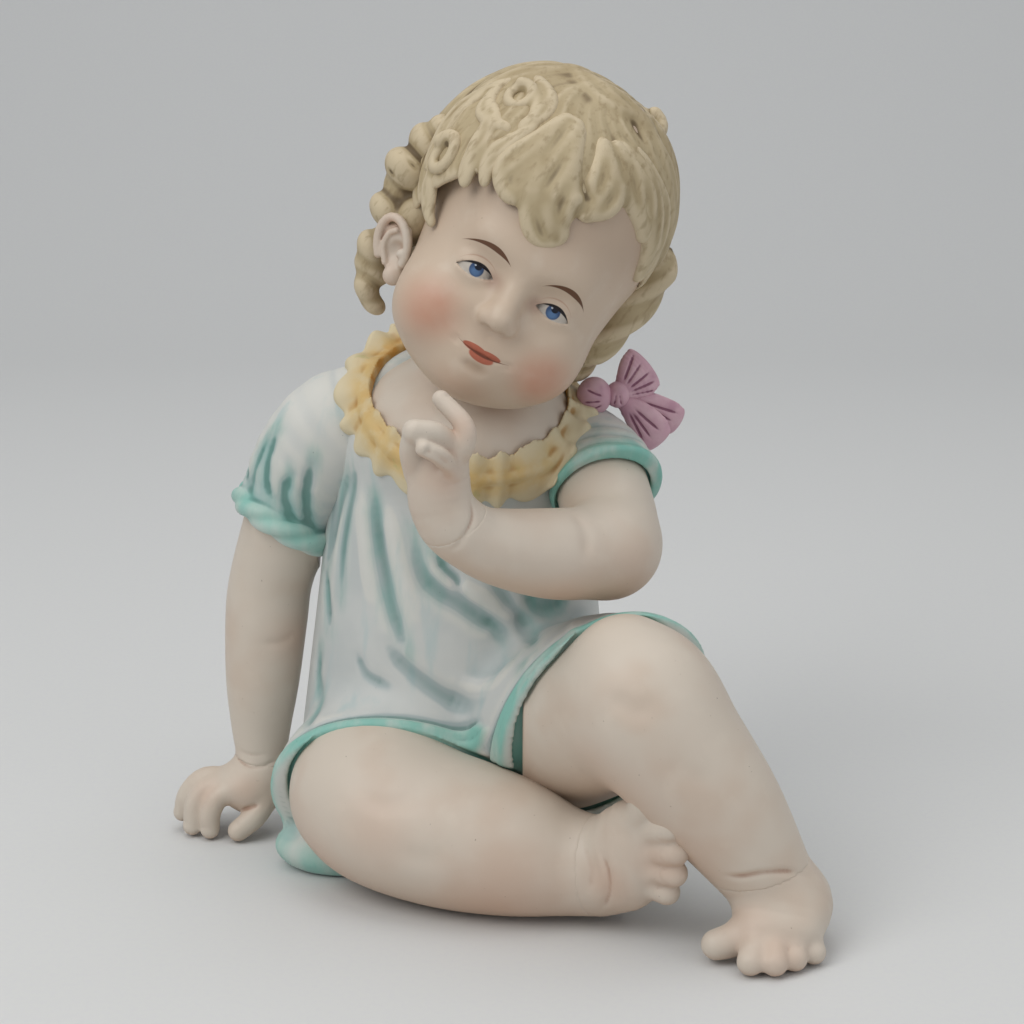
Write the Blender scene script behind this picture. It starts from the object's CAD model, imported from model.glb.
import math
from functools import cache

import bpy
import numpy as np
import openvdb as vdb
from mathutils import Euler, Matrix, Vector


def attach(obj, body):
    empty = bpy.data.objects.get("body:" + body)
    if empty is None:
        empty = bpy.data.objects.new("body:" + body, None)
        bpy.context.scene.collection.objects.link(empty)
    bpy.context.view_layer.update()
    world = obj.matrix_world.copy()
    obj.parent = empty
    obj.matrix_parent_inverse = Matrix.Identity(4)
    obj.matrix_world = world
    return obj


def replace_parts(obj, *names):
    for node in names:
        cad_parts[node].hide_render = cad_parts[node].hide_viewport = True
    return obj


# A seated bisque piano baby. Each piece is sculpted as clay: a grid of distances to its surface, in
# millimetres, that soft lumps are added to and tools are pressed into. Meshing the grid gives the piece.

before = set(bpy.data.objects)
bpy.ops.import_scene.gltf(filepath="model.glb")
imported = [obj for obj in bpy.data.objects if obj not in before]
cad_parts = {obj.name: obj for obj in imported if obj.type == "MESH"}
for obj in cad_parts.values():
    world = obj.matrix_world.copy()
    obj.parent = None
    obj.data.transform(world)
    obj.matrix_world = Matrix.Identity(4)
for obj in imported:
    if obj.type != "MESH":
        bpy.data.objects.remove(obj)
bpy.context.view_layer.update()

MM = 0.001
FAR = 40.0                      # distance that an empty block of clay holds
HEAD_CENTRE = (27, -20, 234)
HEAD_ROLL = 30                  # degrees, to the child's left
FACE_X = -1.3                   # the middle of the face in the head's own frame
SEED = 7                        # of the small unevenness of folds
HOLLOW_SIZES = {"hollow": 1.2, "dip": 4.0}      # widths in mm of the creases that each attribute finds


# ---------------------------------------------------------------- clay
def soft_min(a, b, soft):
    """The smaller of two distances, with the join rounded over a width."""
    if soft <= 0:
        return np.minimum(a, b)
    near = np.maximum(soft - np.abs(a - b), 0) / soft
    return np.minimum(a, b) - near * near * soft / 4


def rotation(turn):
    return np.array(Euler([math.radians(t) for t in turn]).to_matrix(), np.float32)


def ball(centre, radii, turn=None):
    """An ellipsoid, as (lowest corner, highest corner, distance function)."""
    centre = np.array(centre, float)
    radii = np.array(radii, float)
    frame_of_ball = None if turn is None else rotation(turn)
    reach = radii if turn is None else np.full(3, radii.max())

    def distance(x, y, z):
        p = [x - centre[0], y - centre[1], z - centre[2]]
        if frame_of_ball is not None:
            p = [sum(frame_of_ball[row, col] * p[row] for row in range(3)) for col in range(3)]
        scaled = [p[i] / radii[i] for i in range(3)]
        out = np.sqrt(scaled[0] ** 2 + scaled[1] ** 2 + scaled[2] ** 2)
        slope = np.sqrt(sum((scaled[i] / radii[i]) ** 2 for i in range(3)))
        return out * (out - 1) / np.maximum(slope, 1e-6)

    return centre - reach, centre + reach, distance


def curve_through(rows, steps):
    """Rows of numbers, with steps smooth rows between each pair (Catmull-Rom)."""
    rows = np.array(rows, float)
    if steps <= 1 or len(rows) < 3:
        return rows
    padded = np.vstack([2 * rows[0] - rows[1], rows, 2 * rows[-1] - rows[-2]])
    found = []
    for i in range(len(rows) - 1):
        a, b, c, d = padded[i:i + 4]
        for t in np.arange(steps) / steps:
            found.append(0.5 * (2 * b + (c - a) * t + (2 * a - 5 * b + 4 * c - d) * t ** 2
                                + (3 * b - a - 3 * c + d) * t ** 3))
    found.append(rows[-1])
    return np.array(found)


def segment_distance(x, y, z, a, b):
    """Distance to the line from a to b, and how far along it the nearest point is, from 0 to 1."""
    run = b - a
    px, py, pz = x - a[0], y - a[1], z - a[2]
    along = np.clip((px * run[0] + py * run[1] + pz * run[2]) / max(run @ run, 1e-9), 0, 1)
    off = np.sqrt((px - along * run[0]) ** 2 + (py - along * run[1]) ** 2 + (pz - along * run[2]) ** 2)
    return off, along


def rope(stations, steps=3):
    """A round limb through stations of (x, y, z, radius)."""
    rows = curve_through(stations, steps).astype(np.float32)

    def distance(x, y, z):
        best = None
        for a, b in zip(rows[:-1], rows[1:]):
            off, along = segment_distance(x, y, z, a[:3], b[:3])
            here = off - (a[3] + (b[3] - a[3]) * along)
            best = here if best is None else np.minimum(best, here)
        return best

    reach = rows[:, 3:4]
    return (rows[:, :3] - reach).min(0), (rows[:, :3] + reach).max(0), distance


def column(levels):
    """A body of level ovals. A level is (z, x, y, radius in x, radius in y), from the lowest up."""
    levels = np.array(levels, float)
    rows = curve_through(levels, 4)
    low = (levels[:, 1] - levels[:, 3]).min(), (levels[:, 2] - levels[:, 4]).min(), levels[0, 0]
    high = (levels[:, 1] + levels[:, 3]).max(), (levels[:, 2] + levels[:, 4]).max(), levels[-1, 0]

    def distance(x, y, z):
        cx, cy, rx, ry = (np.interp(z, rows[:, 0], rows[:, i]).astype(np.float32) for i in range(1, 5))
        u = (x - cx) / rx
        v = (y - cy) / ry
        out = np.sqrt(u * u + v * v)
        slope = np.sqrt((u / rx) ** 2 + (v / ry) ** 2)
        side = out * (out - 1) / np.maximum(slope, 1e-6)
        return np.maximum(side, np.maximum(low[2] - z, z - high[2]))

    return np.array(low), np.array(high), distance


def grown(shape, by):
    """The same shape with its surface moved out."""
    low, high, distance = shape
    return low - by, high + by, lambda x, y, z: distance(x, y, z) - by


def plane_side(plane, x, y, z):
    """Distance to a plane of (point, normal), positive on the side that the normal points to."""
    point, normal = plane
    n = np.array(normal, float) / np.linalg.norm(normal)
    return ((x - point[0]) * n[0] + (y - point[1]) * n[1] + (z - point[2]) * n[2]).astype(np.float32)


def behind(shape, plane, soft=0.0):
    """The part of a shape that lies behind a plane."""
    low, high, distance = shape
    return low, high, lambda x, y, z: -soft_min(-distance(x, y, z), -plane_side(plane, x, y, z), soft)


def ribbon(stations, side, steps=3):
    """A flat band through stations of (x, y, z, half width, half thickness), broad along side."""
    rows = curve_through(stations, steps).astype(np.float32)
    broad = np.array(side, float) / np.linalg.norm(side)

    def distance(x, y, z):
        best = None
        for a, b in zip(rows[:-1], rows[1:]):
            along = segment_distance(x, y, z, a[:3], b[:3])[1]
            off = [axis - (a[i] + (b[i] - a[i]) * along) for i, axis in enumerate((x, y, z))]
            across = off[0] * broad[0] + off[1] * broad[1] + off[2] * broad[2]
            through = np.sqrt(np.maximum(off[0] ** 2 + off[1] ** 2 + off[2] ** 2 - across ** 2, 0))
            wide = a[3] + (b[3] - a[3]) * along
            thick = a[4] + (b[4] - a[4]) * along
            out = np.sqrt((across / wide) ** 2 + (through / thick) ** 2)
            slope = np.sqrt((across / wide ** 2) ** 2 + (through / thick ** 2) ** 2)
            here = out * (out - 1) / np.maximum(slope, 1e-6)
            best = here if best is None else np.minimum(best, here)
        return best

    reach = rows[:, 3:4]
    return (rows[:, :3] - reach).min(0), (rows[:, :3] + reach).max(0), distance


def near_paths(paths, width):
    """A mask that is 1 on the paths and fades over a width."""
    def mask(x, y, z):
        nearest = np.full(len(x), FAR)
        for path in paths:
            rows = curve_through(path, 4)
            for a, b in zip(rows[:-1], rows[1:]):
                nearest = np.minimum(nearest, segment_distance(x, y, z, a, b)[0])
        return np.exp(-(nearest / width) ** 2)

    return mask


def near_spots(spots):
    """A mask that is 1 on each spot of (x, y, z, radius) and fades over its radius."""
    def mask(x, y, z):
        shares = []
        for cx, cy, cz, radius in spots:
            away = (x - cx) ** 2 + (y - cy) ** 2 + (z - cz) ** 2
            shares.append(np.exp(-away / radius ** 2))
        return np.max(shares, axis=0)

    return mask


class Clay:
    def __init__(self, low, high, cell, reach=12.0):
        self.cell = cell
        self.reach = reach
        self.low = np.array(low, float)
        count = [int(math.ceil((b - a) / cell)) + 1 for a, b in zip(low, high)]
        self.axes = [(low[i] + cell * np.arange(count[i])).astype(np.float32) for i in range(3)]
        self.d = np.full(count, FAR, np.float32)

    def window(self, low, high, margin):
        part = tuple(
            slice(int(np.searchsorted(axis, a - margin)), int(np.searchsorted(axis, b + margin)))
            for axis, a, b in zip(self.axes, low, high)
        )
        x, y, z = (axis[s] for axis, s in zip(self.axes, part))
        return part, x[:, None, None], y[None, :, None], z[None, None, :]

    def everywhere(self):
        x, y, z = self.axes
        return x[:, None, None], y[None, :, None], z[None, None, :]

    def add(self, shape, soft=0.0, reach=None):
        part, x, y, z = self.window(shape[0], shape[1], reach or self.reach)
        if self.d[part].size:
            self.d[part] = soft_min(self.d[part], shape[2](x, y, z), soft)
        return self

    def cut(self, shape, soft=0.0, reach=None):
        part, x, y, z = self.window(shape[0], shape[1], reach or self.reach)
        if self.d[part].size:
            self.d[part] = -soft_min(-self.d[part], shape[2](x, y, z), soft)
        return self

    def keep(self, plane, soft=0.0, behind=False):
        """Keeps what lies in front of a plane, or behind it."""
        side = plane_side(plane, *self.everywhere())
        self.d = -soft_min(-self.d, -side if behind else side, soft)
        return self

    def copy(self):
        other = Clay.__new__(Clay)
        other.__dict__.update(self.__dict__, d=self.d.copy())
        return other

    def press(self, path, width, depth, steps=4):
        """A groove along a path, deepest on it. A negative depth raises a ridge."""
        rows = curve_through(path, steps).astype(np.float32)
        margin = 2.6 * width
        part, x, y, z = self.window(rows.min(0), rows.max(0), margin)
        if not self.d[part].size:
            return self
        near = None
        for i, (a, b) in enumerate(zip(rows[:-1], rows[1:])):
            off, along = segment_distance(x, y, z, a, b)
            t = (i + along) / (len(rows) - 1)
            ends = np.clip(4 * t, 0, 1) * np.clip(4 * (1 - t), 0, 1)
            here = ends * np.exp(-(off / width) ** 2)
            near = here if near is None else np.maximum(near, here)
        self.d[part] += depth * near
        return self

    def blurred(self, field, size):
        """A field averaged over a box that reaches size millimetres each way."""
        n = max(1, int(round(size / self.cell)))
        for axis in range(3):
            margin = [(n + 1, n) if a == axis else (0, 0) for a in range(3)]
            total = np.cumsum(np.pad(field, margin, mode="edge"), axis=axis, dtype=np.float64)
            upper = [slice(None)] * 3
            lower = [slice(None)] * 3
            upper[axis] = slice(2 * n + 1, None)
            lower[axis] = slice(0, -(2 * n + 1))
            field = ((total[tuple(upper)] - total[tuple(lower)]) / (2 * n + 1)).astype(np.float32)
        return field

    def smooth(self, size):
        """Wears the surface smooth, as a wet sponge does."""
        self.d = self.blurred(np.clip(self.d, -4 * size, 4 * size), size)
        return self

    def on_skin(self, points, look="front"):
        """Puts points on the surface seen from one side. Their coordinate along the view is ignored."""
        axis, back_to_front = {"front": (1, False), "back": (1, True), "right": (0, False),
                               "left": (0, True), "top": (2, True)}[look]
        found = []
        for point in points:
            index = [int(round((c - l) / self.cell)) for c, l in zip(point, self.low)]
            index = [min(max(i, 0), n - 1) for i, n in zip(index, self.d.shape)]
            select = [index[0], index[1], index[2]]
            select[axis] = slice(None)
            line = self.d[tuple(select)]
            order = np.arange(len(line))[::-1] if back_to_front else np.arange(len(line))
            inside = line[order] < 0
            first = int(np.argmax(inside)) if inside.any() else int(np.argmin(line[order]))
            place = list(point)
            place[axis] = float(self.axes[axis][order[first]])
            found.append(place)
        return found

    def hollows(self, size):
        """How concave the surface is around each cell, over a size in millimetres."""
        near = np.clip(self.d, -3 * size, 3 * size)
        return (near - self.blurred(near, size)) / size

    def sampled(self, field, points):
        """A field's value at points, between its cells."""
        at = (points - self.low) / self.cell
        base = np.clip(np.floor(at).astype(int), 0, np.array(field.shape) - 2)
        part = at - base
        total = np.zeros(len(points))
        for corner in range(8):
            step = np.array([(corner >> i) & 1 for i in range(3)])
            weight = np.prod(np.where(step, part, 1 - part), axis=1)
            i, j, k = (base + step).T
            total += weight * field[i, j, k]
        return total

    def mesh(self):
        """The surface's points in millimetres and its quads."""
        grid = vdb.FloatGrid(background=3 * self.cell)
        grid.copyFromArray(np.clip(self.d, -3 * self.cell, 3 * self.cell))
        points, quads = grid.convertToQuads(isovalue=0.0)
        return self.low + self.cell * points.astype(float), quads


def biggest_part(points, quads):
    """Drops crumbs: keeps the faces that hang together with the most others."""
    label = np.arange(len(points))
    while True:
        lowest = label[quads].min(axis=1)
        after = label.copy()
        for corner in range(4):
            np.minimum.at(after, quads[:, corner], lowest)
        after = after[after]
        if (after == label).all():
            break
        label = after
    names, counts = np.unique(label[quads[:, 0]], return_counts=True)
    kept = quads[np.isin(label[quads[:, 0]], names[counts >= 0.02 * counts.max()])]
    used, renumbered = np.unique(kept, return_inverse=True)
    return points[used], renumbered.reshape(-1, 4)


def make_piece(name, clay, node, material, masks=None, at_head=False):
    """Meshes clay into a named object that stands for a CAD node."""
    points, quads = biggest_part(*clay.mesh())
    mesh = bpy.data.meshes.new(name)
    mesh.vertices.add(len(points))
    mesh.vertices.foreach_set("co", (points * MM).astype(np.float32).ravel())
    mesh.loops.add(quads.size)
    mesh.loops.foreach_set("vertex_index", quads.astype(np.int32).ravel())
    mesh.polygons.add(len(quads))
    mesh.polygons.foreach_set("loop_start", np.arange(0, quads.size, 4, dtype=np.int32))
    mesh.update(calc_edges=True)
    mesh.polygons.foreach_set("use_smooth", np.ones(len(quads), bool))
    values = {key: clay.sampled(clay.hollows(size), points) for key, size in HOLLOW_SIZES.items()}
    lift = np.array((0, 0, clay.cell))
    rise = clay.sampled(clay.d, points + lift) - clay.sampled(clay.d, points - lift)
    values["under"] = np.clip(-rise / (2 * clay.cell), 0, 1)
    values.update({key: mask(*points.T) for key, mask in (masks or {}).items()})
    for key, value in values.items():
        attribute = mesh.attributes.new(key, "FLOAT", "POINT")
        attribute.data.foreach_set("value", np.asarray(value, np.float32))
    piece = bpy.data.objects.new(name, mesh)
    bpy.context.scene.collection.objects.link(piece)
    if at_head:
        place = Matrix.Translation(Vector(HEAD_CENTRE) * MM)
        piece.matrix_world = place @ Matrix.Rotation(math.radians(HEAD_ROLL), 4, "Y")
    mesh.materials.append(material)
    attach(piece, "root")
    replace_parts(piece, *node) if isinstance(node, tuple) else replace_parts(piece, node)
    print(f"{name}: {len(points)} points")
    return piece


# ---------------------------------------------------------------- shader arithmetic
def colour(red, green, blue):
    """A screen colour of 0 to 255 parts as the linear colour that a shader takes."""
    parts = [c / 255 for c in (red, green, blue)]
    linear = [c / 12.92 if c <= 0.04045 else ((c + 0.055) / 1.055) ** 2.4 for c in parts]
    return (*linear, 1.0)


class Value:
    """A number that varies over a surface, made of shader nodes by ordinary arithmetic."""

    def __init__(self, tree, socket):
        self.tree = tree
        self.socket = socket

    def math(self, operation, *others, clamp=False):
        node = self.tree.nodes.new("ShaderNodeMath")
        node.operation = operation
        node.use_clamp = clamp
        for slot, item in zip(node.inputs, (self, *others)):
            if isinstance(item, Value):
                self.tree.links.new(item.socket, slot)
            else:
                slot.default_value = item
        return Value(self.tree, node.outputs[0])

    def __add__(self, other):
        return self.math("ADD", other)

    def __sub__(self, other):
        return self.math("SUBTRACT", other)

    def __mul__(self, other):
        return self.math("MULTIPLY", other)

    def root(self):
        return self.math("SQRT")

    def size(self):
        return self.math("ABSOLUTE")

    def most(self, other):
        return self.math("MAXIMUM", other)

    def rise(self, low, high):
        """0 below low, 1 above high, smooth between. With low above high it falls instead."""
        node = self.tree.nodes.new("ShaderNodeMapRange")
        node.interpolation_type = "SMOOTHSTEP"
        flip = low > high
        node.inputs["From Min"].default_value = min(low, high)
        node.inputs["From Max"].default_value = max(low, high)
        node.inputs["To Min"].default_value = 1.0 if flip else 0.0
        node.inputs["To Max"].default_value = 0.0 if flip else 1.0
        self.tree.links.new(self.socket, node.inputs["Value"])
        return Value(self.tree, node.outputs["Result"])


class Finish:
    """A material on a principled shader whose colour is built up in washes."""

    def __init__(self, name, base, roughness):
        self.material = bpy.data.materials.new(name)
        self.material.use_nodes = True
        self.tree = self.material.node_tree
        self.shader = self.tree.nodes["Principled BSDF"]
        self.shader.inputs["Roughness"].default_value = roughness
        self.shader.inputs["Specular IOR Level"].default_value = 0.35
        self.paint = None
        self.base = base
        coordinates = self.tree.nodes.new("ShaderNodeTexCoord")
        scaled = self.tree.nodes.new("ShaderNodeVectorMath")
        scaled.operation = "SCALE"
        scaled.inputs["Scale"].default_value = 1 / MM
        self.tree.links.new(coordinates.outputs["Object"], scaled.inputs[0])
        self.place = scaled.outputs[0]

    def axes(self):
        """The surface's x, y and z in millimetres, in the piece's own frame."""
        split = self.tree.nodes.new("ShaderNodeSeparateXYZ")
        self.tree.links.new(self.place, split.inputs[0])
        return [Value(self.tree, split.outputs[i]) for i in range(3)]

    def attribute(self, name):
        node = self.tree.nodes.new("ShaderNodeAttribute")
        node.attribute_name = name
        return Value(self.tree, node.outputs["Fac"])

    def noise(self, size, detail=3.0, stretch=(1, 1, 1)):
        """Soft noise from 0 to 1 whose blots are about size millimetres across."""
        node = self.tree.nodes.new("ShaderNodeTexNoise")
        node.inputs["Scale"].default_value = 1 / size
        node.inputs["Detail"].default_value = detail
        place = self.place
        if stretch != (1, 1, 1):
            scaled = self.tree.nodes.new("ShaderNodeVectorMath")
            scaled.operation = "MULTIPLY"
            scaled.inputs[1].default_value = stretch
            self.tree.links.new(place, scaled.inputs[0])
            place = scaled.outputs[0]
        self.tree.links.new(place, node.inputs["Vector"])
        return Value(self.tree, node.outputs["Fac"])

    def wash(self, tint, amount):
        """Lays a colour over what is there, by an amount from 0 to 1."""
        node = self.tree.nodes.new("ShaderNodeMix")
        node.data_type = "RGBA"
        if self.paint is None:
            node.inputs["A"].default_value = self.base
        else:
            self.tree.links.new(self.paint, node.inputs["A"])
        node.inputs["B"].default_value = tint
        self.tree.links.new(amount.socket, node.inputs["Factor"])
        self.paint = node.outputs["Result"]
        return self

    def finish(self, grain=0.25, grain_size=0.35):
        """Ties the colour in and adds the fine tooth of unglazed china."""
        self.tree.links.new(self.paint, self.shader.inputs["Base Color"])
        bump = self.tree.nodes.new("ShaderNodeBump")
        bump.inputs["Strength"].default_value = grain
        bump.inputs["Distance"].default_value = 0.15 * MM
        self.tree.links.new(self.noise(grain_size, 4.0).socket, bump.inputs["Height"])
        self.tree.links.new(bump.outputs["Normal"], self.shader.inputs["Normal"])
        return self.material


# ---------------------------------------------------------------- painted face
EYES = {
    "right": {"outer": (-22.6, -19.6), "inner": (-9.4, -18.4), "iris": (-15.9, -18.0)},
    "left": {"outer": (19.8, -19.0), "inner": (7.2, -18.6), "iris": (13.4, -17.8)},
}
UPPER_LID_RISE = 3.0            # height of the upper lid's arc over the line between the corners
LOWER_LID_SAG = 1.6
IRIS_RADIUS = 2.45
BROWS = [((-24.5, -12.0), (-15.6, -8.3), (-7.0, -10.8)), ((5.8, -11.3), (14.9, -8.7), (22.6, -13.2))]
MOUTH = (-0.6, -41.2)           # middle of the line between the lips


def arc_of_chord(start, end, rise):
    """Centre and radius of the arc from start to end that rises by that much. A negative rise sags."""
    (ax, az), (bx, bz) = start, end
    chord = math.hypot(bx - ax, bz - az)
    radius = (chord ** 2 / 4 + rise ** 2) / (2 * abs(rise))
    up = (-(bz - az) / chord, (bx - ax) / chord)
    if up[1] < 0:
        up = (-up[0], -up[1])
    drop = math.copysign(radius, rise) - rise
    return ((ax + bx) / 2 - up[0] * drop, (az + bz) / 2 - up[1] * drop), radius


def circle_through(a, b, c):
    """Centre and radius of the circle through three points."""
    (ax, az), (bx, bz), (cx, cz) = a, b, c
    d = 2 * (ax * (bz - cz) + bx * (cz - az) + cx * (az - bz))
    aa, bb, cc = (px ** 2 + pz ** 2 for px, pz in (a, b, c))
    ux = (aa * (bz - cz) + bb * (cz - az) + cc * (az - bz)) / d
    uz = (aa * (cx - bx) + bb * (ax - cx) + cc * (bx - ax)) / d
    return (ux, uz), math.hypot(ax - ux, az - uz)


def round_off(x, z, centre, stretch=(1, 1)):
    """Distance from a point of the face's front view, as a Value."""
    across = (x - centre[0]) * (1 / stretch[0])
    up = (z - centre[1]) * (1 / stretch[1])
    return (across * across + up * up).root()


def painted_line(x, z, start, end, circle, width, fullest=0.5):
    """A brush line on an arc: thin at both ends, and widest at a share of its length."""
    (centre, radius) = circle
    bulge = 1 if start[1] > centre[1] else -1
    this_half = ((z - centre[1]) * bulge).rise(0.0, 0.3)
    off = (round_off(x, z, centre) - radius).size()
    along = (x - start[0]) * (1 / (end[0] - start[0]))
    swell = along.rise(-0.02, fullest) * along.rise(1.02, fullest)
    half = swell.math("POWER", 0.7) * (width / 2)
    return (half - off).rise(-0.12, 0.12) * along.rise(-0.03, 0.0) * along.rise(1.03, 1.0) * this_half


def skin_base(name, base):
    skin = Finish(name, base, roughness=0.45)
    skin.wash(colour(194, 170, 150), skin.noise(26.0, 2.0).rise(0.42, 0.72) * 0.4)
    skin.wash(colour(214, 203, 188), skin.noise(9.0, 3.0).rise(0.5, 0.8) * 0.3)
    return skin


def aged(skin, strength=1.0):
    """Grime in the creases and a few kiln specks."""
    skin.wash(colour(160, 122, 102), skin.attribute("hollow").rise(0.06, 0.36) * (0.6 * strength))
    skin.wash(colour(186, 148, 126), skin.attribute("dip").rise(0.04, 0.3) * (0.4 * strength))
    skin.wash(colour(110, 88, 72), skin.noise(1.3, 1.0).rise(0.785, 0.83) * 0.55)
    return skin


@cache
def limb_skin():
    """Creamy bisque with a peach flush where the limb turns under."""
    skin = skin_base("bisque_limb", colour(205, 194, 180))
    skin.wash(colour(196, 160, 130), skin.attribute("under").rise(0.1, 1.0) * 0.5)
    skin.wash(colour(200, 156, 130), skin.attribute("flush") * 0.35)
    return aged(skin).finish()


def face_skin():
    skin = skin_base("bisque_face", colour(198, 179, 159))
    x, y, z = skin.axes()
    front = y.rise(-20, -30)
    skin.wash(colour(168, 146, 126), z.rise(-8, 12) * 0.45)
    for centre, radius in (((-22.5, -37.0), 15.5), ((21.5, -40.0), 15.0)):
        cheek = round_off(x, z, centre).rise(radius, 2.0) * front
        skin.wash(colour(188, 122, 96), cheek * (skin.noise(7.0, 2.0) * 0.3 + 0.42))
    skin.wash(colour(182, 140, 112), round_off(x, z, (-1, -56), (1.8, 1)).rise(10, 1) * front * 0.4)
    under_lip = round_off(x, z, (MOUTH[0], MOUTH[1] - 5.0), (2.4, 1)).rise(3.0, 0.5)
    skin.wash(colour(158, 132, 110), under_lip * front * 0.5)
    aged(skin, 0.3)
    for side, brow in zip(("right", "left"), BROWS):
        eye = EYES[side]
        upper = arc_of_chord(eye["outer"], eye["inner"], UPPER_LID_RISE)
        lower = arc_of_chord(eye["outer"], eye["inner"], -LOWER_LID_SAG)
        inside = (round_off(x, z, upper[0]) - upper[1]).rise(0.1, -0.15)
        inside = inside * (round_off(x, z, lower[0]) - lower[1]).rise(0.1, -0.15) * front
        iris = round_off(x, z, eye["iris"])
        inner_corner = round_off(x, z, eye["inner"], (1.2, 1)).rise(4.5, 0.5)
        skin.wash(colour(150, 110, 96), inner_corner * front * 0.45)
        skin.wash(colour(188, 180, 170), inside)
        skin.wash(colour(50, 74, 110), inside * iris.rise(IRIS_RADIUS + 0.25, IRIS_RADIUS - 0.15))
        lit = round_off(x, z, (eye["iris"][0], eye["iris"][1] - 0.9), (1.25, 1))
        skin.wash(colour(88, 120, 160), inside * lit.rise(2.1, 0.6) * 0.85)
        pupil = round_off(x, z, (eye["iris"][0] + 0.15, eye["iris"][1] + 1.0), (1.15, 1))
        skin.wash(colour(16, 20, 34), inside * pupil.rise(1.25, 0.95))
        glint = round_off(x, z, (eye["iris"][0] - 1.0, eye["iris"][1] + 1.2))
        skin.wash(colour(206, 214, 222), inside * glint.rise(0.45, 0.25) * 0.8)
        ends = (eye["outer"], eye["inner"]) if side == "right" else (eye["inner"], eye["outer"])
        skin.wash(colour(28, 24, 28), painted_line(x, z, *ends, upper, 1.35, 0.6) * front)
        crease_ends = [(ends[0][0], ends[0][1] + 2.2), (ends[1][0], ends[1][1] + 2.2)]
        crease = arc_of_chord(*crease_ends, UPPER_LID_RISE + 0.3)
        skin.wash(colour(168, 124, 104), painted_line(x, z, *crease_ends, crease, 0.55) * front * 0.45)
        fullest = 0.62 if side == "right" else 0.6
        line = painted_line(x, z, brow[0], brow[2], circle_through(*brow), 2.0, fullest)
        skin.wash(colour(98, 66, 46), line * front)
    paint_mouth(skin, x, z, front)
    return skin.finish()


def paint_mouth(skin, x, z, front):
    mx, mz = MOUTH
    upper_right = round_off(x, z, (mx - 3.1, mz + 0.75), (4.4, 1.3)).rise(1.08, 0.92)
    upper_left = round_off(x, z, (mx + 2.8, mz + 0.7), (4.0, 1.2)).rise(1.08, 0.92)
    lower = round_off(x, z, (mx + 0.3, mz - 0.85), (4.6, 1.95)).rise(1.08, 0.9)
    lips = upper_right.most(upper_left).most(lower) * front
    skin.wash(colour(172, 98, 76), lips)
    skin.wash(colour(132, 66, 48), round_off(x, z, (mx, mz - 0.2), (4.6, 0.8)).rise(1.1, 0.5) * front * 0.8)
    ends = ((mx - 9.2, mz + 0.9), (mx + 9.6, mz + 0.9))
    line = painted_line(x, z, *ends, arc_of_chord(*ends, -1.3), 0.8)
    skin.wash(colour(108, 62, 46), line * front * 0.9)


# ---------------------------------------------------------------- head
def face_clay():
    """Skull, cheeks, chin, nose, lids and lips, in the head's own frame."""
    clay = Clay((-46, -58, -68), (46, 52, 58), 0.5)
    clay.add(ball((-1, 2, 6), (40, 46.5, 48)))
    clay.add(ball((FACE_X, -13, -27), (33.5, 31, 31.5)), 12)
    clay.add(ball((-19, -26.5, -38), (15.5, 15.5, 15.5)), 12)
    clay.add(ball((16.5, -26.5, -37), (15, 15.5, 15.5)), 12)
    clay.add(ball((-2, -31, -48.5), (13, 11.5, 11)), 10)
    clay.add(ball((-1.5, -38, -50.5), (6, 5.5, 5.2)), 8)
    clay.add(ball((0, -14, -50), (22, 22, 11)), 10)
    clay.add(ball((FACE_X, -37, -5), (20, 8, 8)), 10)
    for side in EYES:
        sculpt_eye(clay, EYES[side])
    sculpt_nose(clay)
    sculpt_mouth(clay)
    return clay


def front_disk(centre, radius):
    """Everything in front of and behind a disk of the face's front view."""
    (cx, cz) = centre
    low = np.array((cx - radius, -60.0, cz - radius))
    high = np.array((cx + radius, -20.0, cz + radius))

    def distance(x, y, z):
        return np.sqrt((x - cx) ** 2 + (z - cz) ** 2) - radius + 0 * y

    return low, high, distance


def sculpt_eye(clay, eye):
    """A shallow socket, the lids over a ball, and the opening between the lids down to the eyeball."""
    middle_x = (eye["outer"][0] + eye["inner"][0]) / 2
    middle_z = (eye["outer"][1] + eye["inner"][1]) / 2
    clay.cut(ball((middle_x, -46.5, middle_z + 1.2), (9.5, 5.5, 6.0)), 7)
    clay.add(ball((middle_x, -34.6, middle_z + 0.4), (7.8, 7.2, 6.6)), 3)
    upper = front_disk(*arc_of_chord(eye["outer"], eye["inner"], UPPER_LID_RISE))
    lower = front_disk(*arc_of_chord(eye["outer"], eye["inner"], -LOWER_LID_SAG))
    eyeball = ball((middle_x, -34.6, middle_z + 0.3), (7.1, 6.6, 6.0))

    def opening(x, y, z):
        almond = np.maximum(upper[2](x, y, z), lower[2](x, y, z))
        return np.maximum(np.maximum(almond, -eyeball[2](x, y, z)), y + 34)

    low = np.array((middle_x - 9, -60.0, middle_z - 8))
    high = np.array((middle_x + 9, -30.0, middle_z + 8))
    clay.cut((low, high, opening), 0.5)
    fold = [(eye["outer"][0], 0, eye["outer"][1] + 2.4), (middle_x, 0, middle_z + UPPER_LID_RISE + 2.2),
            (eye["inner"][0], 0, eye["inner"][1] + 2.2)]
    clay.press(clay.on_skin(fold), 0.9, 0.3)


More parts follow.
